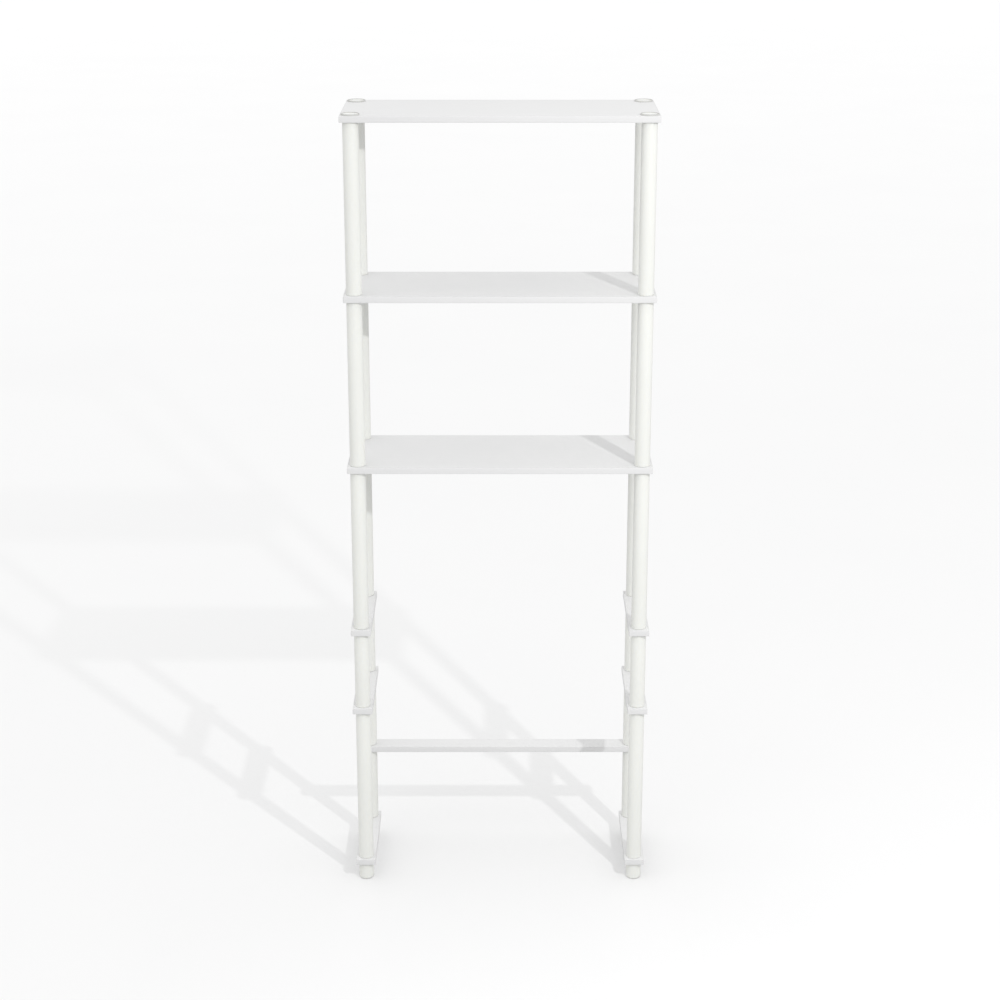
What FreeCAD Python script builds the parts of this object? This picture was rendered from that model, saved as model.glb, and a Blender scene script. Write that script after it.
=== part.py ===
import FreeCAD, Part
import math
import os
from FreeCAD import Vector

# Over the toilet storage rack: boards clamped between the ends of tubes that screw together.
# Millimetres. +Z is up, X runs across the rack, and Y runs from the front (-Y) to the back (+Y).
# The origin is on the floor, under the middle of the rack.

# Boards
rack_width = 623.0             # left edge to right edge of the shelves
rack_depth = 235.0             # front edge to back edge of every board but the brace
board_thickness = 12.7
board_corner_radius = 2.0      # upright corners
board_edge_radius = 0.8        # level edges, where the laminate is folded over
edge_margin = 5.1              # from a tube's side to the nearest board edge

# Tubes
tube_diameter = 31.75
tube_wall = 1.3
tube_end_radius = 1.5          # the outside of the turned-in ends
tube_lip = 3.5                 # how far the ends are turned in over the plugs
full_tube_length = 342.9

# Caps and feet
cap_overhang = 2.6             # how far a cap reaches past the tube below it, all round
cap_thickness = 2.9
cap_edge_radius = 1.1
cap_rim_width = 2.0            # raised rim round the cap's shallow dish
cap_dish_depth = 1.4
foot_height = 37.5
foot_edge_radius = 4.0         # the edge nearest the floor

# Plugs fixed in the tube ends
plug_length = 22.0
plug_wall = 2.6                # skirt of the plug that carries a stud
plug_web = 6.0                 # solid end of the plug that carries a stud

# Screw joint
stud_diameter = 16.0           # over the thread
stud_reach = 15.0              # how far a stud goes below the board
stud_tip_chamfer = 1.0
thread_pitch = 4.0
thread_depth = 1.5
thread_root_width = 2.8
thread_crest_width = 1.2
thread_run_in = 2.0            # plain stretch at each end of a stud

# Clearances
plug_clearance = 0.1           # plug to tube, all round
thread_clearance = 0.3         # male thread to female thread
hole_clearance = 0.5           # stud to the hole in a board, all round
tip_clearance = 2.0            # stud tip to the bottom of a foot's socket
overlap = 0.3                  # how far a thread's root is sunk in its core, so that they join

# Worked out from the sizes above
tube_radius = tube_diameter / 2
post_inset = tube_radius + edge_margin
side_board_width = 2 * post_inset
half_tube_length = (full_tube_length - board_thickness) / 2
stud_core_radius = stud_diameter / 2 - thread_depth
board_hole_radius = stud_diameter / 2 + hole_clearance
half_width = rack_width / 2
half_depth = rack_depth / 2
post_x = half_width - post_inset
post_y = half_depth - post_inset

# Tubes of each post, from the floor up. The back posts take the brace, so their first tube is a half.
front_tubes = [full_tube_length, half_tube_length] + 3 * [full_tube_length]
back_tubes = 3 * [half_tube_length] + 3 * [full_tube_length]

posts = {
    "front_left": (-post_x, -post_y, front_tubes),
    "front_right": (post_x, -post_y, front_tubes),
    "back_left": (-post_x, post_y, back_tubes),
    "back_right": (post_x, post_y, back_tubes),
}


def board_heights(tubes):
    """Undersides of the boards that a post goes through, from the floor up."""
    heights = [foot_height]
    for length in tubes:
        heights.append(heights[-1] + board_thickness + length)
    return heights


def turned(outline):
    """Solid of revolution about Z from a closed outline of edges in the XZ plane."""
    return Part.Face(Part.Wire(outline)).revolve(Vector(0, 0, 0), Vector(0, 0, 1), 360)


def line(start, end):
    """Straight edge between two (radius, height) points."""
    return Part.LineSegment(Vector(start[0], 0, start[1]), Vector(end[0], 0, end[1])).toShape()


def quarter(centre, radius, from_angle):
    """Quarter circle about a (radius, height) point, turning anticlockwise from an angle in degrees."""
    points = []
    for step in range(3):
        angle = math.radians(from_angle + 45 * step)
        points.append(Vector(centre[0] + radius * math.cos(angle), 0, centre[1] + radius * math.sin(angle)))
    return Part.Arc(*points).toShape()


def board(x_low, x_high, y_low, y_high, underside):
    """Board with softened edges and a hole for every post that stands within it."""
    shape = Part.makeBox(x_high - x_low, y_high - y_low, board_thickness, Vector(x_low, y_low, underside))
    upright = [edge for edge in shape.Edges if abs(edge.tangentAt(edge.FirstParameter).z) > 0.5]
    shape = shape.makeFillet(board_corner_radius, upright)
    rims = [edge for edge in shape.Edges if edge.BoundBox.ZLength < board_thickness / 2]
    shape = shape.makeFillet(board_edge_radius, rims)
    for x, y, _ in posts.values():
        if x_low < x < x_high and y_low < y < y_high:
            shape = shape.cut(Part.makeCylinder(board_hole_radius, board_thickness, Vector(x, y, underside)))
    return shape.Solids[0]


def tube(length):
    """Thin tube standing on Z = 0, with both ends turned in over the plugs."""
    lip = tube_radius - tube_lip
    turn = tube_radius - tube_end_radius
    inside = tube_radius - tube_wall
    inner_turn = tube_end_radius - tube_wall
    outline = [
        line((lip, 0), (turn, 0)),
        quarter((turn, tube_end_radius), tube_end_radius, -90),
        line((tube_radius, tube_end_radius), (tube_radius, length - tube_end_radius)),
        quarter((turn, length - tube_end_radius), tube_end_radius, 0),
        line((turn, length), (lip, length)),
        line((lip, length), (lip, length - tube_wall)),
        line((lip, length - tube_wall), (turn, length - tube_wall)),
        quarter((turn, length - tube_end_radius), inner_turn, 0),
        line((inside, length - tube_end_radius), (inside, tube_end_radius)),
        quarter((turn, tube_end_radius), inner_turn, -90),
        line((turn, tube_wall), (lip, tube_wall)),
        line((lip, tube_wall), (lip, 0)),
    ]
    return turned(outline)


def plug_body(bore_outline):
    """Plug that fills a tube's end, upwards from Z = 0. The last edges are its bore, from top to bottom."""
    lip = tube_radius - tube_lip - plug_clearance
    turn = tube_radius - tube_end_radius
    shoulder = tube_wall + plug_clearance
    skin = tube_radius - shoulder
    outline = [
        line((bore_outline[-1][0], 0), (lip, 0)),
        line((lip, 0), (lip, shoulder)),
        line((lip, shoulder), (turn, shoulder)),
        quarter((turn, tube_end_radius), tube_end_radius - shoulder, -90),
        line((skin, tube_end_radius), (skin, plug_length)),
        line((skin, plug_length), bore_outline[0]),
    ]
    outline += [line(start, end) for start, end in zip(bore_outline, bore_outline[1:])]
    return turned(outline)


def thread(start, turns, core_radius, clearance):
    """Helical ridge that winds up round Z from a start height, grown by a clearance on every flank."""
    slope = (thread_root_width - thread_crest_width) / 2 / thread_depth
    root = thread_root_width / 2 + clearance + overlap * slope
    crest = thread_crest_width / 2 + clearance
    inner = core_radius - overlap
    outer = core_radius + thread_depth
    corners = [(inner, -root), (outer, -crest), (outer, crest), (inner, root), (inner, -root)]
    profile = Part.makePolygon([Vector(radius, 0, start + height) for radius, height in corners])
    helix = Part.makeHelix(thread_pitch, thread_pitch * turns, core_radius)
    helix.translate(Vector(0, 0, start))
    return Part.Wire(helix.Edges).makePipeShell([profile], True, True)


# A screw joint is drawn with the underside of its board at Z = 0 and the post's axis on Z. Both threads
# start from the same height there, so they are in step whatever the thickness of the board.
thread_start = thread_run_in - stud_reach


def stud():
    """Threaded stud, from its tip below the board up to the board's top face."""
    length = stud_reach + board_thickness
    tip = Part.makeCone(stud_core_radius - stud_tip_chamfer, stud_core_radius, stud_tip_chamfer)
    core = Part.makeCylinder(stud_core_radius, length - stud_tip_chamfer, Vector(0, 0, stud_tip_chamfer))
    core = core.fuse(tip).removeSplitter()
    core.translate(Vector(0, 0, -stud_reach))
    turns = (length - 2 * thread_run_in) / thread_pitch
    return core.fuse(thread(thread_start, turns, stud_core_radius, 0))


def tap(body, depth):
    """Cut the female thread down into a body whose top is at Z = 0."""
    radius = stud_core_radius + thread_clearance
    bore = Part.makeCylinder(radius, depth, Vector(0, 0, -depth))
    lead = thread_start - thread_pitch
    turns = (thread_pitch - lead) / thread_pitch
    return body.cut(bore).cut(thread(lead, turns, radius, thread_clearance)).Solids[0]


def stud_plug():
    """Plug for a tube's lower end: a hollow skirt, a solid web and the stud that goes through the board."""
    recess = tube_radius - tube_wall - plug_clearance - plug_wall
    body = plug_body([(recess, plug_length), (recess, plug_web), (0, plug_web), (0, 0)])
    body.translate(Vector(0, 0, board_thickness))
    return body.fuse(stud()).Solids[0]


def socket_plug():
    """Plug for a tube's upper end, tapped right through for the stud above."""
    pilot = stud_core_radius
    body = plug_body([(pilot, plug_length), (pilot, 0)])
    body = body.mirror(Vector(0, 0, 0), Vector(0, 0, 1))
    return tap(body, plug_length)


def cap():
    """Low round cap with a raised rim and its own stud, lying on the top shelf."""
    radius = tube_radius + cap_overhang
    low = board_thickness
    high = low + cap_thickness
    bend = radius - cap_edge_radius
    rim = radius - cap_rim_width
    dish = high - cap_dish_depth
    outline = [
        line((0, low), (radius, low)),
        line((radius, low), (radius, high - cap_edge_radius)),
        quarter((bend, high - cap_edge_radius), cap_edge_radius, 0),
        line((bend, high), (rim, high)),
        line((rim, high), (rim, dish)),
        line((rim, dish), (0, dish)),
        line((0, dish), (0, low)),
    ]
    return turned(outline).fuse(stud()).Solids[0]


def foot():
    """Round foot with a blind threaded socket in its top."""
    low_turn = tube_radius - foot_edge_radius
    high_turn = tube_radius - tube_end_radius
    outline = [
        line((0, -foot_height), (low_turn, -foot_height)),
        quarter((low_turn, foot_edge_radius - foot_height), foot_edge_radius, -90),
        line((tube_radius, foot_edge_radius - foot_height), (tube_radius, -tube_end_radius)),
        quarter((high_turn, -tube_end_radius), tube_end_radius, 0),
        line((high_turn, 0), (0, 0)),
        line((0, 0), (0, -foot_height)),
    ]
    return tap(turned(outline), stud_reach + tip_clearance)


def at(shape, x, y, z):
    """Copy of a shape moved to a place."""
    return shape.translated(Vector(x, y, z))


def boards():
    """Every board by name."""
    side_low, side_mid, side_high, shelf_low, shelf_mid, shelf_high = board_heights(front_tubes)
    brace_height = board_heights(back_tubes)[1]
    inner_x = half_width - side_board_width
    inner_y = half_depth - side_board_width
    found = {"rear_brace_board": board(-half_width, half_width, inner_y, half_depth, brace_height)}
    for name, height in (("lower", shelf_low), ("middle", shelf_mid), ("top", shelf_high)):
        found[name + "_shelf"] = board(-half_width, half_width, -half_depth, half_depth, height)
    for name, height in (("bottom", side_low), ("middle", side_mid), ("upper", side_high)):
        found["left_" + name + "_side_board"] = board(-half_width, -inner_x, -half_depth, half_depth, height)
        found["right_" + name + "_side_board"] = board(inner_x, half_width, -half_depth, half_depth, height)
    return found


def post_pieces(name, x, y, tubes):
    """Foot, tubes, plugs and cap of one post, by name. Tubes are numbered from the floor up."""
    heights = board_heights(tubes)
    found = {name + "_foot": at(foot(), x, y, heights[0]), name + "_top_cap": at(cap(), x, y, heights[-1])}
    for number, length in enumerate(tubes):
        found[name + "_tube_" + str(number + 1)] = at(tube(length), x, y, heights[number] + board_thickness)
    one_stud = stud_plug()
    one_socket = socket_plug()
    studs = [at(one_stud, x, y, height) for height in heights[:-1]]
    sockets = [at(one_socket, x, y, height) for height in heights[1:]]
    found[name + "_threaded_studs"] = Part.makeCompound(studs)
    found[name + "_threaded_sockets"] = Part.makeCompound(sockets)
    return found


rack = boards()
for post_name, (x, y, tubes) in posts.items():
    rack.update(post_pieces(post_name, x, y, tubes))

os.makedirs("parts", exist_ok=True)
for node, shape in rack.items():
    shape.exportStep("parts/" + node + ".step")
print(len(rack), "nodes written")
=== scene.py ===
# %% [markdown]
# # An over the toilet storage rack
#
# The rack is three white shelves and seven narrow boards, clamped between the ends of off-white
# tubes. A threaded stud in the bottom of every tube goes through a board and screws into the tube
# below, so the tubes hold the boards and the boards space the tubes.
#
# The engineering model gives every part its place. This script gives the parts that show their
# finish, and remakes the two kinds of part that make up the whole look: the boards and the tubes.

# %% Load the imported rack
import math

import bmesh
import bpy
from mathutils import Euler, Matrix, Vector


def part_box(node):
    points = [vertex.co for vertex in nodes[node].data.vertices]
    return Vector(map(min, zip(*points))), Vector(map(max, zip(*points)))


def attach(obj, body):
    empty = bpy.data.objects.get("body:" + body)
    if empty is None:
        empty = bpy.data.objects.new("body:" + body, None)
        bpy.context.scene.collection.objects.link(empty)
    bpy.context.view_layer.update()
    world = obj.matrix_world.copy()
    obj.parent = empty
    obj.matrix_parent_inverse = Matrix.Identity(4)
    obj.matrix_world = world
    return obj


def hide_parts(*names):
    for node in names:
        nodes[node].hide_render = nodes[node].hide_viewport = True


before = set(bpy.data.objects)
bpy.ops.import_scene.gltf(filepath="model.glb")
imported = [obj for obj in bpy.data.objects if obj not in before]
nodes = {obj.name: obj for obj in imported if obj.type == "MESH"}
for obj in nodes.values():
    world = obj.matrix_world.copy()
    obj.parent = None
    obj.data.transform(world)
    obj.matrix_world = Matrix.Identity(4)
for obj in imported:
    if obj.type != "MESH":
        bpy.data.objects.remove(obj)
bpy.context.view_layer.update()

# %% [markdown]
# ## Which node is what
#
# The nodes are named after their parts, so the last words of a name say what kind it is. The posts
# stand where the feet stand, and everything else is measured from the boxes of the nodes, so that
# nothing here has to be fitted by eye.

# %% Sort the nodes
MM = 0.001


def kind_of(ending):
    """The names of the nodes that end so, in order."""
    return sorted(name for name in nodes if name.endswith(ending))


board_names = kind_of("_shelf") + kind_of("_board")
tube_names = sorted(name for name in nodes if "_tube_" in name)
cap_names = kind_of("_top_cap")
foot_names = kind_of("_foot")
joint_names = kind_of("_threaded_studs") + kind_of("_threaded_sockets")
print(len(board_names), "boards,", len(tube_names), "tubes")
print(len(cap_names), "caps,", len(foot_names), "feet")

foot_low, foot_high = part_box(foot_names[0])
tube_radius = (foot_high.x - foot_low.x) / 2
side_low, side_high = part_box("left_bottom_side_board")
post_inset = (side_high.x - side_low.x) / 2
print("tube radius", round(tube_radius / MM, 3), "mm, post inset", round(post_inset / MM, 3), "mm")

# %% [markdown]
# ## Building node trees from a script
#
# A node tree is a drawing of a calculation. Wiring one by hand in code takes three lines a node, so
# two helpers keep the trees readable. `add` makes a node, sets it up and feeds its inputs. What it
# returns is a `Wire`, the node's first output, and wires can be added, subtracted, multiplied and
# divided: each such sign adds a Math node. The same helpers serve shapes and materials.

# %% Wires and nodes
class Wire:
    """A value that travels along a node tree."""

    def __init__(self, tree, socket):
        self.tree = tree
        self.socket = socket

    def math(self, operation, other=0.0):
        return add(self.tree, "ShaderNodeMath", {0: self, 1: other}, operation=operation)

    def __add__(self, other):
        return self.math("ADD", other)

    def __sub__(self, other):
        return self.math("SUBTRACT", other)

    def __mul__(self, other):
        return self.math("MULTIPLY", other)

    def __truediv__(self, other):
        return self.math("DIVIDE", other)


def feed(tree, socket, value):
    """Link a wire to a socket, or set the socket to a plain value."""
    if isinstance(value, Wire):
        tree.links.new(value.socket, socket)
    else:
        socket.default_value = value


def add(tree, kind, inputs=None, output=0, **settings):
    """A new node, set up and fed, as the wire that leaves it."""
    node = tree.nodes.new(kind)
    for name, value in settings.items():
        setattr(node, name, value)
    for key, value in (inputs or {}).items():
        feed(tree, node.inputs[key], value)
    return Wire(tree, node.outputs[output])


def vector(tree, x=0.0, y=0.0, z=0.0):
    """Three numbers joined into a place or a direction."""
    return add(tree, "ShaderNodeCombineXYZ", {"X": x, "Y": y, "Z": z})


def axes(tree, place):
    """The three numbers of a place."""
    return [add(tree, "ShaderNodeSeparateXYZ", {0: place}, output=axis) for axis in range(3)]


# %% [markdown]
# ## What every shape tree starts and ends with
#
# A Geometry Nodes tree is a recipe with named sizes, so one tree makes every length of tube and
# another every size of board. All trees here begin with their sizes as inputs. They all end the
# same way too: doubled points are merged so that no seam stays open, faces are shaded smooth and
# edges that turn sharply are kept crisp, instances become real faces, and the finish is put on.

# %% Open and close a shape tree
CRISP_ANGLE = math.radians(35)
MERGE_DISTANCE = 0.01 * MM


def shape_tree(title, sizes, counts=()):
    """A new tree and its inputs by name."""
    tree = bpy.data.node_groups.new(title, "GeometryNodeTree")
    for name in sizes:
        tree.interface.new_socket(name, in_out="INPUT", socket_type="NodeSocketFloat")
    for name in counts:
        tree.interface.new_socket(name, in_out="INPUT", socket_type="NodeSocketInt")
    tree.interface.new_socket("Finish", in_out="INPUT", socket_type="NodeSocketMaterial")
    tree.interface.new_socket("Geometry", in_out="OUTPUT", socket_type="NodeSocketGeometry")
    start = tree.nodes.new("NodeGroupInput")
    return tree, {name: Wire(tree, start.outputs[name]) for name in [*sizes, *counts, "Finish"]}


def close_tree(tree, mesh, wear, finish):
    """Merge, shade, mark the worn places, make real, put the finish on and hand the mesh out."""
    mesh = add(tree, "GeometryNodeMergeByDistance", {"Geometry": mesh, "Distance": MERGE_DISTANCE})
    mesh = add(tree, "GeometryNodeSetShadeSmooth", {"Geometry": mesh, "Shade Smooth": True})
    turn = add(tree, "GeometryNodeInputMeshEdgeAngle")
    crisp = add(tree, "FunctionNodeCompare", {"A": turn, "B": CRISP_ANGLE}, operation="GREATER_THAN")
    mesh = add(tree, "GeometryNodeSetShadeSmooth",
               {"Geometry": mesh, "Selection": crisp, "Shade Smooth": False}, domain="EDGE")
    mesh = add(tree, "GeometryNodeStoreNamedAttribute", {"Geometry": mesh, "Name": "wear", "Value": wear})
    mesh = add(tree, "GeometryNodeRealizeInstances", {"Geometry": mesh})
    mesh = add(tree, "GeometryNodeSetMaterial", {"Geometry": mesh, "Material": finish})
    tree.links.new(mesh.socket, tree.nodes.new("NodeGroupOutput").inputs[0])


# %% [markdown]
# ## Drawing a section
#
# Turned parts and board edges both start as a section: a few corners, some of them rounded. The
# section is a line cut into as many points as there are corners. Every point is sent to its corner
# by its number, and the Fillet node then rounds each corner by its own radius. Only the corners
# that the shape needs are given, and the arcs come from the node.

# %% Sections with rounded corners
ARC_STEPS = 6


def by_number(tree, kind, number, values):
    """The value whose place in the list is the number."""
    switch = tree.nodes.new("GeometryNodeIndexSwitch")
    switch.data_type = kind
    while len(switch.index_switch_items) < len(values):
        switch.index_switch_items.new()
    feed(tree, switch.inputs[0], number)
    for place, value in enumerate(values):
        feed(tree, switch.inputs[place + 1], value)
    return Wire(tree, switch.outputs[0])


def points_in_a_row(tree, count, place, closed):
    """A curve of so many points, each sent to its place."""
    row = add(tree, "GeometryNodeCurvePrimitiveLine")
    row = add(tree, "GeometryNodeResampleCurve", {"Curve": row, "Count": count})
    row = add(tree, "GeometryNodeSetSplineCyclic", {0: row, "Cyclic": closed})
    return add(tree, "GeometryNodeSetPosition", {"Geometry": row, "Position": place})


def section(tree, corners, closed=False):
    """A curve through corners given as (x, y, rounding radius)."""
    number = add(tree, "GeometryNodeInputIndex")
    places = [vector(tree, x, y) for x, y, _ in corners]
    row = points_in_a_row(tree, len(corners), by_number(tree, "VECTOR", number, places), closed)
    rounding = by_number(tree, "FLOAT", number, [radius for _, _, radius in corners])
    return add(tree, "GeometryNodeFilletCurve",
               {"Curve": row, "Count": ARC_STEPS, "Radius": rounding, "Limit Radius": True}, mode="POLY")


# %% [markdown]
# ## A tube
#
# The real tube is extruded plastic, cut to length. Both ends are then turned in to a short lip with
# a small outside radius, which sits square on the boards and holds the plug in. It could be a
# cylinder with its ends bevelled, but a tube is turned about an axis, so its wall section swept
# round a circle is the truer way, and one tree with a length input makes short tubes and long ones.

# %% The tube's tree
TUBE_SIDES = 72


def tube_tree():
    """Tube standing on Z = 0, with its section swept round a circle."""
    tree, size = shape_tree("turned_end_tube", ["Length", "Radius", "Wall", "Lip", "End radius"])
    length, radius, wall, bend = size["Length"], size["Radius"], size["Wall"], size["End radius"]
    lip = size["Lip"] * -1.0
    inner_bend = bend - wall
    inside = wall * -1.0
    top = length * -1.0
    top_inside = wall - length
    wall_section = section(tree, [
        (lip, 0.0, 0.0),
        (0.0, 0.0, bend),
        (0.0, top, bend),
        (lip, top, 0.0),
        (lip, top_inside, 0.0),
        (inside, top_inside, inner_bend),
        (inside, inside, inner_bend),
        (lip, inside, 0.0),
    ], closed=True)
    ring = add(tree, "GeometryNodeCurvePrimitiveCircle", {"Resolution": TUBE_SIDES, "Radius": radius})
    mesh = add(tree, "GeometryNodeCurveToMesh", {"Curve": ring, "Profile Curve": wall_section})
    mesh = add(tree, "GeometryNodeFlipFaces", {"Mesh": mesh})
    height = axes(tree, add(tree, "GeometryNodeInputPosition"))[2]
    from_end = height.math("MINIMUM", length - height)
    wear = add(tree, "ShaderNodeMapRange",
               {"Value": from_end, "From Min": 0.0, "From Max": bend, "To Min": 1.0, "To Max": 0.0})
    close_tree(tree, mesh, wear, size["Finish"])
    return tree


turned_end_tube = tube_tree()
print("tube tree:", len(turned_end_tube.nodes), "nodes")

# %% [markdown]
# ## A board
#
# The real board is particle board faced with a white foil, with a strip of edge band glued round
# it. The edges are eased, and where the band meets the face there is a joint as fine as a hair. A
# bevelled box would have neither the joint nor the stud holes. Here the edge is a section of rings:
# every ring is the same rounded rectangle, drawn in or out and up or down as the section says. The
# two faces are flat plates with their holes cut out, and they share their outermost ring with the
# edge, so the board is closed all round.

# %% A ring of the edge
CORNER_STEPS = 6
RING_POINTS = 4 * (CORNER_STEPS + 1)
QUARTER_TURN = math.pi / 2


def ring_place(tree, number, width, depth, corner, reach):
    """Where a numbered point of a rounded rectangle lies, with its corners drawn in or out."""
    number = number.math("MODULO", RING_POINTS)
    quarter = (number / (CORNER_STEPS + 1)).math("FLOOR")
    along = number.math("MODULO", CORNER_STEPS + 1) / CORNER_STEPS
    angle = (quarter + along) * QUARTER_TURN
    middle = (quarter + 0.5) * QUARTER_TURN
    x = (width / 2 - corner) * middle.math("COSINE").math("SIGN") + angle.math("COSINE") * reach
    y = (depth / 2 - corner) * middle.math("SINE").math("SIGN") + angle.math("SINE") * reach
    return x, y


print("points in a ring:", RING_POINTS)

# %% [markdown]
# ### The skin of the edge
#
# The skin is a flat grid of points, folded round the board. It has a column for each point of the
# ring and a row for each point of the section, so a point's number says where it goes: divided by
# the rows it gives the column, and the remainder gives the row. Sweeping the section along a
# rounded rectangle would be less to write, but a sweep thins the section where the corners turn,
# and the corners here are as small as the section is deep.

# %% Fold the grid
ROUNDING_GUARD = 0.001


def edge_skin(tree, size, edge_section):
    """The edge all round, from the ring of the top plate to the ring of the bottom plate."""
    rows = add(tree, "GeometryNodeAttributeDomainSize", {0: edge_section}, component="CURVE")
    skin = add(tree, "GeometryNodeMeshGrid", {"Vertices X": RING_POINTS + 1, "Vertices Y": rows})
    number = add(tree, "GeometryNodeInputIndex")
    sample = add(tree, "GeometryNodeSampleIndex",
                 {"Geometry": edge_section, "Value": add(tree, "GeometryNodeInputPosition"),
                  "Index": number.math("MODULO", rows)}, data_type="FLOAT_VECTOR")
    outward, height, _ = axes(tree, sample)
    column = (number / rows + ROUNDING_GUARD).math("FLOOR")
    x, y = ring_place(tree, column, size["Width"], size["Depth"], size["Corner"], size["Corner"] + outward)
    skin = add(tree, "GeometryNodeSetPosition", {"Geometry": skin, "Position": vector(tree, x, y, height)})
    return add(tree, "GeometryNodeFlipFaces", {"Mesh": skin})


# %% [markdown]
# ### Plates, holes and bores
#
# A plate is the innermost ring, filled. Where closed curves lie inside it, the Fill Curve node
# leaves holes, so nothing has to be cut out. The same circles, drawn down through the board, make
# the walls of the holes. The wear numbers are 1 where two faces of the board meet and fall to 0
# within the width of the eased edge.

# %% The board's tree
HOLE_SIDES = 48
FULLY_WORN = 0.3


def hole_points(tree, size):
    """A grid of points where the posts go through."""
    return add(tree, "GeometryNodeMeshGrid",
               {"Size X": size["Width"] - size["Hole inset"] * 2, "Vertices X": size["Holes across"],
                "Size Y": size["Depth"] - size["Hole inset"] * 2, "Vertices Y": size["Holes deep"]})


def join(tree, *parts):
    """Several geometries as one."""
    node = tree.nodes.new("GeometryNodeJoinGeometry")
    for part in reversed(parts):
        tree.links.new(part.socket, node.inputs[0])
    return Wire(tree, node.outputs[0])


def board_tree():
    """Board lying on Z = 0 about the Z axis."""
    sizes = ["Width", "Depth", "Thickness", "Corner", "Eased edge", "Band lap", "Joint",
             "Hole radius", "Hole inset"]
    tree, size = shape_tree("banded_board", sizes, ["Holes across", "Holes deep"])
    thickness, eased, joint = size["Thickness"], size["Eased edge"], size["Joint"]
    plate_edge = size["Band lap"] * -1.0
    band_start = plate_edge + joint
    corners = [
        (plate_edge, thickness, 0.0),
        (plate_edge, thickness - joint, 0.0),
        (band_start, thickness - joint, 0.0),
        (band_start, thickness, 0.0),
        (0.0, thickness, eased),
        (0.0, 0.0, eased),
        (band_start, 0.0, 0.0),
        (band_start, joint, 0.0),
        (plate_edge, joint, 0.0),
        (plate_edge, 0.0, 0.0),
    ]
    skin = edge_skin(tree, size, section(tree, corners))
    number = add(tree, "GeometryNodeInputIndex")
    x, y = ring_place(tree, number, size["Width"], size["Depth"], size["Corner"],
                      size["Corner"] + plate_edge)
    rim = points_in_a_row(tree, RING_POINTS, vector(tree, x, y), True)
    circle = add(tree, "GeometryNodeCurvePrimitiveCircle",
                 {"Resolution": HOLE_SIDES, "Radius": size["Hole radius"]})
    spots = hole_points(tree, size)
    circles = add(tree, "GeometryNodeInstanceOnPoints", {"Points": spots, "Instance": circle})
    circles = add(tree, "GeometryNodeRealizeInstances", {"Geometry": circles})
    bottom = add(tree, "GeometryNodeFillCurve", {"Curve": join(tree, rim, circles)}, mode="TRIANGLES")
    top = add(tree, "GeometryNodeTransform", {"Geometry": bottom, "Translation": vector(tree, z=thickness)})
    bottom = add(tree, "GeometryNodeFlipFaces", {"Mesh": bottom})
    drop = add(tree, "GeometryNodeCurvePrimitiveLine", {"End": vector(tree, y=thickness * -1.0)})
    bore = add(tree, "GeometryNodeCurveToMesh", {"Curve": circle, "Profile Curve": drop})
    bores = add(tree, "GeometryNodeInstanceOnPoints", {"Points": spots, "Instance": bore})
    bores = add(tree, "GeometryNodeRealizeInstances", {"Geometry": bores})
    mesh = join(tree, skin, top, bottom, bores)
    x, y, z = axes(tree, add(tree, "GeometryNodeInputPosition"))
    from_side = size["Width"] / 2 - x.math("ABSOLUTE")
    from_front = size["Depth"] / 2 - y.math("ABSOLUTE")
    from_rim = from_side.math("MINIMUM", from_front)
    from_face = z.math("MINIMUM", thickness - z)
    from_edge = from_rim.math("MAXIMUM", from_face)
    wear = add(tree, "ShaderNodeMapRange",
               {"Value": from_edge, "From Min": eased * FULLY_WORN, "From Max": eased,
                "To Min": 1.0, "To Max": 0.0})
    close_tree(tree, mesh, wear, size["Finish"])
    return tree


banded_board = board_tree()
print("board tree:", len(banded_board.nodes), "nodes")

# %% [markdown]
# ## Finishes
#
# All the surfaces are near-white plastics, and what tells them apart is small: how warm the white
# is, how it shines, and what its skin is like close up. Each finish is made from noise at three
# scales: a slow drift of colour over centimetres, a fine speckle, and a skin that only changes the
# way the light slides over it. The patterns are read from the object's own coordinates in metres,
# so a pattern has the same size on every part.

# %% Helpers for finishes
def new_finish(title):
    """A new material with its tree, its surface shader and the object's coordinates."""
    material = bpy.data.materials.new(title)
    material.use_nodes = True
    tree = material.node_tree
    tree.nodes.clear()
    shader = tree.nodes.new("ShaderNodeBsdfPrincipled")
    out = tree.nodes.new("ShaderNodeOutputMaterial")
    tree.links.new(shader.outputs["BSDF"], out.inputs["Surface"])
    place = add(tree, "ShaderNodeTexCoord", output="Object")
    return material, tree, shader, place


UNSTRETCHED = (1.0, 1.0, 1.0)


def noise(tree, place, scale, detail=2.0, stretch=UNSTRETCHED):
    """Noise from 0 to 1 with so many blotches to the metre, drawn out along an axis if wanted."""
    if stretch != UNSTRETCHED:
        place = add(tree, "ShaderNodeMapping", {"Vector": place, "Scale": stretch})
    return add(tree, "ShaderNodeTexNoise", {"Vector": place, "Scale": scale, "Detail": detail})


def spread(tree, value, low, high, from_low=0.3, from_high=0.7):
    """A value moved from the middle of its range on to another range."""
    return add(tree, "ShaderNodeMapRange", {"Value": value, "From Min": from_low, "From Max": from_high,
                                            "To Min": low, "To Max": high})


def tinted(tree, amount, plain, tint):
    """A colour between two, by an amount from 0 to 1."""
    node = tree.nodes.new("ShaderNodeMix")
    node.data_type = "RGBA"
    feed(tree, node.inputs["Factor"], amount)
    for socket, colour in ((node.inputs[6], plain), (node.inputs[7], tint)):
        feed(tree, socket, colour if isinstance(colour, Wire) else (*colour, 1.0))
    return Wire(tree, node.outputs[2])


def bumps(tree, shader, layers):
    """A skin of one or more heights, each as (height from 0 to 1, depth in metres)."""
    normal = None
    for height, depth in layers:
        inputs = {"Height": height, "Distance": depth, "Strength": 1.0}
        if normal is not None:
            inputs["Normal"] = normal
        normal = add(tree, "ShaderNodeBump", inputs)
    feed(tree, shader.inputs["Normal"], normal)


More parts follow.
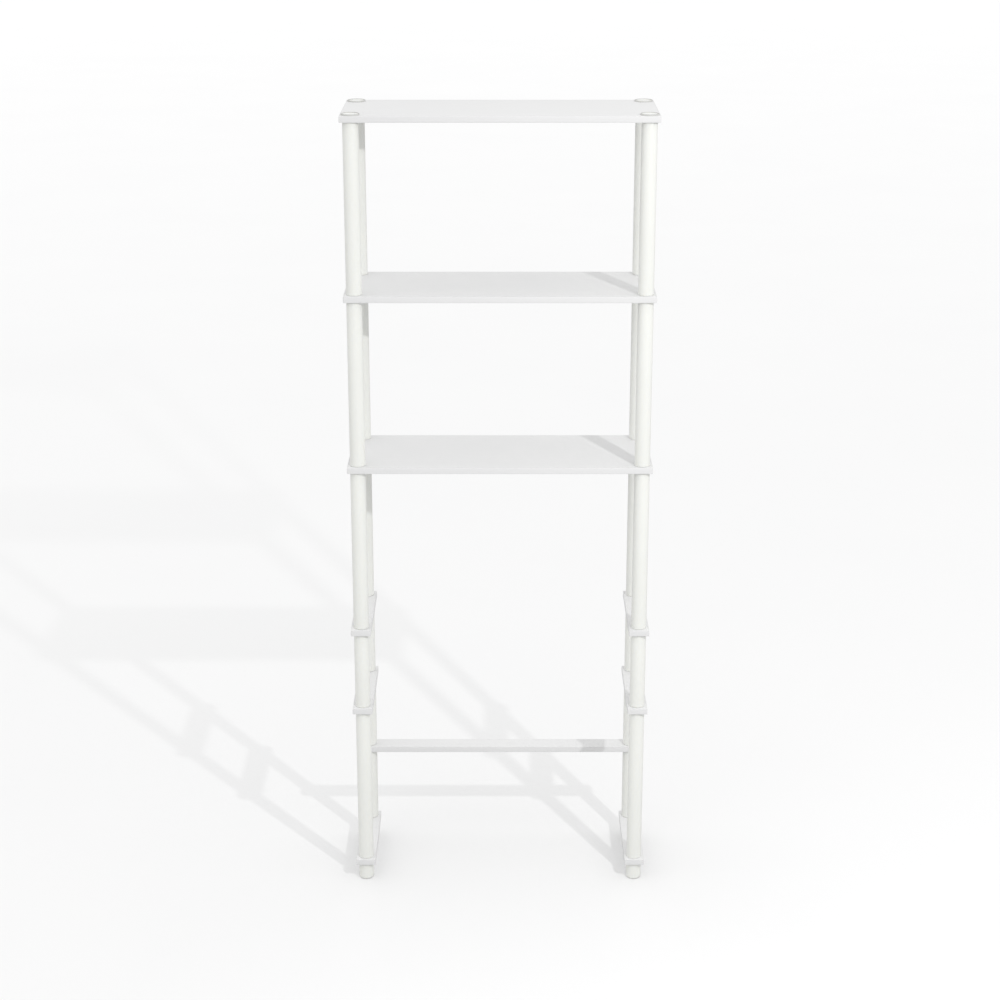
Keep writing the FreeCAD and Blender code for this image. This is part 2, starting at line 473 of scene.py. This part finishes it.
# %% [markdown]
# ### Board foil
#
# The foil is a cool white with a satin shine. Under it the particle board shows as a very faint
# unevenness, and the foil itself is printed with a fine grain that runs along the board. The grain
# is noise drawn out along X or along Y, so there are two foils, for boards that lie either way. At
# the edges the foil has rubbed a little smoother and greyer, which the `wear` numbers stored by the
# board's tree bring out.

# %% The board foil
FOIL_WHITE = (0.732, 0.732, 0.731)
FOIL_SHADE = (0.719, 0.720, 0.722)
GRAIN_GREY = (0.690, 0.690, 0.687)
SPECKLE_WHITE = (0.752, 0.752, 0.753)
RUBBED_GREY = (0.640, 0.635, 0.622)
ALONG_X = (0.06, 1.0, 1.0)
ALONG_Y = (1.0, 0.06, 1.0)


def board_foil(title, along):
    """White foil with its grain along an axis, given as the stretch of its noise."""
    material, tree, shader, place = new_finish(title)
    wear = add(tree, "ShaderNodeAttribute", output="Fac", attribute_name="wear")
    drift = noise(tree, place, scale=7.0, detail=3.0)
    speckle = noise(tree, place, scale=1400.0, detail=1.0)
    grain = noise(tree, place, scale=420.0, detail=4.0, stretch=along)
    rubs = noise(tree, place, scale=160.0, detail=4.0)
    rubbed = (spread(tree, rubs, 0.0, 1.0, from_low=0.45, from_high=0.62) * wear).math("MINIMUM", 1.0)
    colour = tinted(tree, spread(tree, drift, 0.0, 1.0), FOIL_WHITE, FOIL_SHADE)
    colour = tinted(tree, spread(tree, grain, 0.0, 0.35), colour, GRAIN_GREY)
    colour = tinted(tree, spread(tree, speckle, 0.0, 0.25), colour, SPECKLE_WHITE)
    colour = tinted(tree, rubbed * 0.5, colour, RUBBED_GREY)
    feed(tree, shader.inputs["Base Color"], colour)
    feed(tree, shader.inputs["Roughness"], spread(tree, drift, 0.40, 0.50) - rubbed * 0.10)
    bumps(tree, shader, [(drift, 0.20 * MM), (grain, 0.04 * MM), (speckle, 0.012 * MM)])
    shader.inputs["IOR"].default_value = 1.45
    shader.inputs["Specular IOR Level"].default_value = 0.45
    return material


foil_across = board_foil("white_foil_grain_across", ALONG_X)
foil_deep = board_foil("white_foil_grain_deep", ALONG_Y)
print("foils:", foil_across.name, foil_deep.name)

# %% [markdown]
# ### Tube plastic
#
# Extruded plastic is never quite even: the die leaves fine lines along the tube, the skin has a
# slight orange peel, and the white is warmer than the foil's, with a touch of green. The ends carry
# the light scuffs of being screwed together, and the `wear` numbers say where those are. Noise could
# be painted on as an image, but made from the coordinates it has no seam and no end. One function
# makes the tube's plastic and that of the mouldings, which differ only in a few numbers.

# %% Off-white plastic
DRAWN_OUT = (1.0, 1.0, 0.01)
SCUFF_STRETCH = (1.0, 1.0, 0.35)
SCUFF_GREY = (0.60, 0.59, 0.56)
OUTLINE_SHADE_GREY = (0.48, 0.48, 0.465)
# A grey for the rim and side of a cap: painted shade that outlines each cap.
LINE_SHADE = 0.955
SPECKLE_LIFT = 1.05


def moulded_plastic(title, plain, tint, lines, roughness, worn, painted_outline=None):
    """Off-white plastic, with its fine lines drawn out by a stretch, a mask of worn places, and a mask for
    a grey outline of painted shade.
    """
    material, tree, shader, place = new_finish(title)
    drift = noise(tree, place, scale=11.0)
    peel = noise(tree, place, scale=650.0)
    speckle = noise(tree, place, scale=2200.0, detail=1.0)
    drawn = noise(tree, place, scale=900.0, stretch=lines)
    scuffs = noise(tree, place, scale=240.0, detail=5.0, stretch=SCUFF_STRETCH)
    marks = spread(tree, scuffs, 0.0, 1.0, from_low=0.52, from_high=0.66)
    scuffed = (marks * worn(tree, place)).math("MINIMUM", 1.0)
    line_colour = [value * LINE_SHADE for value in tint]
    speckle_colour = [value * SPECKLE_LIFT for value in plain]
    colour = tinted(tree, spread(tree, drift, 0.0, 1.0), plain, tint)
    colour = tinted(tree, spread(tree, drawn, 0.0, 0.30), colour, line_colour)
    colour = tinted(tree, spread(tree, speckle, 0.0, 0.20), colour, speckle_colour)
    colour = tinted(tree, scuffed * 0.55, colour, SCUFF_GREY)
    # Where an outline mask is given, the colour is darkened towards grey there: painted shade.
    if painted_outline is not None:
        colour = tinted(tree, painted_outline(tree, place), colour, OUTLINE_SHADE_GREY)
    feed(tree, shader.inputs["Base Color"], colour)
    skin = spread(tree, peel, roughness - 0.05, roughness + 0.05)
    feed(tree, shader.inputs["Roughness"], skin + scuffed * 0.12)
    bumps(tree, shader, [(drawn, 0.008 * MM), (peel, 0.012 * MM), (scuffs, 0.010 * MM)])
    shader.inputs["IOR"].default_value = 1.49
    shader.inputs["Specular IOR Level"].default_value = 0.5
    shader.inputs["Subsurface Weight"].default_value = 0.04
    shader.inputs["Subsurface Scale"].default_value = 0.002
    shader.inputs["Subsurface Radius"].default_value = (1.0, 0.9, 0.7)
    return material


# %% The tube plastic
TUBE_WHITE = (0.812, 0.819, 0.785)
TUBE_SHADE = (0.801, 0.807, 0.773)


def worn_ends(tree, place):
    """The wear numbers stored by a shape tree."""
    return add(tree, "ShaderNodeAttribute", output="Fac", attribute_name="wear")


tube_plastic = moulded_plastic("ivory_tube_plastic", TUBE_WHITE, TUBE_SHADE, DRAWN_OUT,
                               roughness=0.34, worn=worn_ends)
print("tubes:", tube_plastic.name)

# %% [markdown]
# ### Caps, feet and plugs
#
# These are injection mouldings in the same off-white. They keep the shapes they have, threads and
# all, so they need no new mesh, only a finish. Their scuffs can't come from stored numbers, so they
# come from height: a foot is marked near the floor, and a cap everywhere but in its shallow dish.
# The same mask also paints the rim and side of a cap a darker grey than the dish: painted shade that draws
# a dark outline round every cap.

# %% Masks by height
def worn_between(low, high):
    """A mask that is 1 at one height and 0 at another."""
    def mask(tree, place):
        height = axes(tree, place)[2]
        return add(tree, "ShaderNodeMapRange", {"Value": height, "From Min": low, "From Max": high,
                                                "To Min": 1.0, "To Max": 0.0})
    return mask


FLOOR_SCUFF = 9 * MM
CAP_DISH = 1.4 * MM
DISH_EDGE = 0.1 * MM
cap_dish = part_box(cap_names[0])[1].z - CAP_DISH


def cap_rim(tree, place):
    """A mask that is 0 in the dish of a cap and 1 on its rim and side."""
    from_dish = (axes(tree, place)[2] - cap_dish).math("ABSOLUTE")
    return add(tree, "ShaderNodeMapRange", {"Value": from_dish, "To Min": 0.0, "To Max": 1.0,
                                            "From Min": DISH_EDGE, "From Max": DISH_EDGE * 3})


near_floor = worn_between(0.0, FLOOR_SCUFF)
print("the dish of a cap lies at", round(cap_dish / MM, 1), "mm")

# %% Finishes of the mouldings
CAP_WHITE = (0.835, 0.841, 0.817)
CAP_SHADE = (0.822, 0.828, 0.804)
FOOT_WHITE = (0.822, 0.829, 0.793)
FOOT_SHADE = (0.806, 0.814, 0.777)
PLUG_WHITE = (0.680, 0.676, 0.645)
PLUG_SHADE = (0.645, 0.640, 0.605)
# On the caps the rim mask carries both the scuffs and the grey outline of painted shade.
cap_plastic = moulded_plastic("ivory_cap_plastic", CAP_WHITE, CAP_SHADE, UNSTRETCHED,
                              roughness=0.36, worn=cap_rim, painted_outline=cap_rim)
foot_plastic = moulded_plastic("ivory_foot_plastic", FOOT_WHITE, FOOT_SHADE, UNSTRETCHED,
                               roughness=0.40, worn=near_floor)
plug_plastic = moulded_plastic("natural_plug_plastic", PLUG_WHITE, PLUG_SHADE, UNSTRETCHED,
                               roughness=0.45, worn=near_floor)


def put_on(names, material):
    """Give nodes that keep their shape a finish."""
    for name in names:
        for slot in nodes[name].material_slots:
            slot.material = material


put_on(cap_names, cap_plastic)
put_on(foot_names, foot_plastic)
put_on(joint_names, plug_plastic)
print("finished as they are:", len(cap_names) + len(foot_names) + len(joint_names), "nodes")

# %% [markdown]
# ## From a tree to a piece
#
# A modifier runs the tree on an empty mesh. Its inputs are set by the identifiers of the sockets,
# then the evaluated object is copied to a plain mesh and the modifier goes. The mesh is moved to
# its place, so the object itself stays at the origin, as the nodes do. Every mesh is checked: its
# volume has to be positive, or it is inside out, and no edge may be open.

# %% Run a tree
def grown(tree, values):
    """A plain mesh that a tree makes with these input values."""
    holder = bpy.data.objects.new("holder", bpy.data.meshes.new("holder"))
    bpy.context.scene.collection.objects.link(holder)
    modifier = holder.modifiers.new("recipe", "NODES")
    modifier.node_group = tree
    for item in tree.interface.items_tree:
        if item.in_out == "INPUT":
            modifier[item.identifier] = values[item.name]
    shown = holder.evaluated_get(bpy.context.evaluated_depsgraph_get())
    mesh = bpy.data.meshes.new_from_object(shown)
    holder.modifiers.remove(modifier)
    bpy.data.objects.remove(holder)
    return mesh


def measured(mesh):
    """Volume in cubic centimetres, and how many edges don't join two faces that face the same way."""
    check = bmesh.new()
    check.from_mesh(mesh)
    volume = check.calc_volume(signed=True) * 1e6
    loose = sum(1 for edge in check.edges if not edge.is_contiguous)
    check.free()
    return round(volume, 2), loose


def foot_of(low, high):
    """The middle of the underside of a box."""
    return ((low.x + high.x) / 2, (low.y + high.y) / 2, low.z)


def stand_in(mesh, node, place):
    """The piece that is shown in a node's place, with a mesh of its own."""
    own = mesh.copy()
    own.transform(Matrix.Translation(place))
    own.name = node + "_finished"
    piece = bpy.data.objects.new(node + "_finished", own)
    bpy.context.scene.collection.objects.link(piece)
    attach(piece, "root")
    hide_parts(node)
    return piece


# %% [markdown]
# ## The tubes
#
# The rack has long and short tubes, and both come out of the one tree. A tube is grown once for
# each length and then stood in all its places.

# %% Grow the tubes
TUBE_WALL = 1.3 * MM
TUBE_LIP = 3.5 * MM
END_RADIUS = 1.5 * MM
tubes_by_length = {}
for name in tube_names:
    low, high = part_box(name)
    length = round(high.z - low.z, 6)
    if length not in tubes_by_length:
        values = {"Length": length, "Radius": tube_radius, "Wall": TUBE_WALL, "Lip": TUBE_LIP,
                  "End radius": END_RADIUS, "Finish": tube_plastic}
        mesh = grown(turned_end_tube, values)
        tubes_by_length[length] = mesh
        print("tube of", round(length / MM, 1), "mm: volume and loose edges", measured(mesh))
    stand_in(tubes_by_length[length], name, foot_of(low, high))

# %% [markdown]
# ## The boards
#
# Shelves have four stud holes, side boards and the brace two. How many go across and how many deep
# follows from the size: a board that is wide enough for two posts has two. The grain runs along
# the longer side of each board, as it would be cut.

# %% Grow the boards
BOARD_SIZES = {"Corner": 2.0 * MM, "Eased edge": 0.8 * MM, "Band lap": 1.4 * MM, "Joint": 0.15 * MM,
               "Hole radius": 8.5 * MM, "Hole inset": post_inset}


def posts_along(extent):
    """How many posts stand along a side of a board."""
    return 2 if extent > 3 * post_inset else 1


for name in board_names:
    low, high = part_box(name)
    width, depth, thickness = high - low
    values = {"Width": width, "Depth": depth, "Thickness": thickness, **BOARD_SIZES,
              "Holes across": posts_along(width), "Holes deep": posts_along(depth),
              "Finish": foil_across if width > depth else foil_deep}
    mesh = grown(banded_board, values)
    print(name, "volume and loose edges", measured(mesh))
    stand_in(mesh, name, foot_of(low, high))

# %% [markdown]
# ## The floor
#
# A plain pale floor, large enough to run past the edge of every view. It has a faint unevenness,
# as a painted studio floor has, and hardly any shine.
#
# A floor that is white enough to vanish throws so much light back that the shelves lose the shade
# under them. So this floor has a middling grey of its own, and a glow that makes it up to white for
# the camera and lights nothing. The glow grows slowly with the distance from the rack, which keeps
# the shadows near the feet clear.

# %% Lay the floor
FLOOR_HALF = 60.0
FLOOR_GREY = (0.600, 0.600, 0.600)
FLOOR_SHADE = (0.594, 0.594, 0.595)
GLOW_CENTRE = (0.0, -0.6, 0.0)
GLOW_LEAST = 0.232
GLOW_LIFT = 0.014
GLOW_GROWTH = 0.040


def studio_floor():
    """A large flat floor with its own finish, just touching the feet."""
    material, tree, shader, place = new_finish("studio_floor")
    drift = noise(tree, place, scale=1.5, detail=3.0)
    colour = tinted(tree, spread(tree, drift, 0.0, 1.0), FLOOR_GREY, FLOOR_SHADE)
    feed(tree, shader.inputs["Base Color"], colour)
    feed(tree, shader.inputs["Roughness"], spread(tree, drift, 0.80, 0.90))
    away = add(tree, "ShaderNodeVectorMath", {0: place, 1: GLOW_CENTRE}, output=1, operation="DISTANCE")
    growth = away.math("LOGARITHM", math.e) * GLOW_GROWTH + GLOW_LIFT
    glow = growth.math("MAXIMUM", 0.0) + GLOW_LEAST
    seen = add(tree, "ShaderNodeLightPath", output="Is Camera Ray")
    feed(tree, shader.inputs["Emission Strength"], glow * seen)
    shader.inputs["Emission Color"].default_value = (1.0, 1.0, 1.0, 1.0)
    material.cycles.emission_sampling = "NONE"
    bumps(tree, shader, [(noise(tree, place, scale=300.0), 0.03 * MM)])
    shader.inputs["Specular IOR Level"].default_value = 0.1
    mesh = bpy.data.meshes.new("studio_floor")
    signs = ((-1, -1), (1, -1), (1, 1), (-1, 1))
    mesh.from_pydata([(x * FLOOR_HALF, y * FLOOR_HALF, 0.0) for x, y in signs], [], [(0, 1, 2, 3)])
    mesh.materials.append(material)
    floor = bpy.data.objects.new("studio_floor", mesh)
    bpy.context.scene.collection.objects.link(floor)
    return floor


studio_floor()

# %% [markdown]
# ## The light
#
# Most of the light is a soft white dome, brighter overhead than at the horizon and a little
# brighter from the left, so that tops are lighter than fronts and a post has two different sides.
# Large lamps could do the same, but a dome has no edges that show as stripes in the gloss. One
# small lamp, high up in front and to the right, throws the crisp shadows down to the left. The dome
# is shown to the camera as even white, so that low views have a plain background too.

# %% Hang the lamps
DOME_LEVEL = 0.722
DOME_OVERHEAD = 0.42
DOME_FROM_LEFT = 0.26
DOME_SEEN = 0.96
KEY_PLACE = (1.295, -2.226, 2.507)
KEY_AIM = (0.0, 0.0, -1.5)
KEY_SIZE = 0.08
KEY_POWER = 34.8


def dome():
    """World light by height and side, and an even white where the camera looks past the floor."""
    world = bpy.data.worlds.new("studio_dome")
    bpy.context.scene.world = world
    world.use_nodes = True
    tree = world.node_tree
    tree.nodes.clear()
    right, _, up = axes(tree, add(tree, "ShaderNodeTexCoord", output="Generated"))
    overhead = up.math("MAXIMUM", 0.0) * DOME_OVERHEAD
    from_left = right.math("MINIMUM", 0.0) * -DOME_FROM_LEFT
    glow = overhead + from_left + DOME_LEVEL
    seen = add(tree, "ShaderNodeLightPath", output="Is Camera Ray")
    strength = add(tree, "ShaderNodeMix", {0: seen, 2: glow, 3: DOME_SEEN}, data_type="FLOAT")
    light = add(tree, "ShaderNodeBackground", {"Color": (1.0, 1.0, 1.0, 1.0), "Strength": strength})
    tree.links.new(light.socket, tree.nodes.new("ShaderNodeOutputWorld").inputs["Surface"])


def lamp(title, place, aim, size, power):
    """A round lamp that the camera doesn't see."""
    light = bpy.data.lights.new(title, "AREA")
    light.shape = "DISK"
    light.size = size
    light.energy = power
    holder = bpy.data.objects.new(title, light)
    holder.location = place
    holder.rotation_euler = (Vector(aim) - Vector(place)).to_track_quat("-Z", "Y").to_euler()
    holder.visible_camera = False
    bpy.context.scene.collection.objects.link(holder)


dome()
lamp("key_lamp", KEY_PLACE, KEY_AIM, KEY_SIZE, KEY_POWER)
print("key lamp at", KEY_PLACE, "of", KEY_POWER, "W")

# %% [markdown]
# ## The camera
#
# The camera stands in front of the rack, higher than its top, and looks down at its middle, so
# that every shelf shows its upper face. It is far back with a long lens, which keeps the posts
# nearly parallel. Whites are kept as they are, with the plain Standard view.

# %% Set up the camera
CAMERA_BACK = 4.2335
CAMERA_HEIGHT = 2.237
CAMERA_PITCH = math.radians(18.36)
LENS = 76.4
SENSOR = 36.0
SIGHT = 200.0


def camera():
    """A camera in front of the rack that looks down by the pitch."""
    data = bpy.data.cameras.new("camera")
    data.sensor_width = SENSOR
    data.lens = LENS
    data.clip_end = SIGHT
    holder = bpy.data.objects.new("camera", data)
    holder.location = (0.0, -CAMERA_BACK, CAMERA_HEIGHT)
    holder.rotation_euler = Euler((math.pi / 2 - CAMERA_PITCH, 0.0, 0.0))
    bpy.context.scene.collection.objects.link(holder)
    bpy.context.scene.camera = holder


camera()
bpy.context.scene.view_settings.view_transform = "Standard"
print("camera", CAMERA_BACK, "m back and", CAMERA_HEIGHT, "m up, with a lens of", LENS, "mm")

# %% [markdown]
# ## Bringing the scene up to date
#
# The view layer is updated once more, after the last piece is made. The finished rack
# may not be larger than the engineering model.

# %% Update the view layer
bpy.context.view_layer.update()
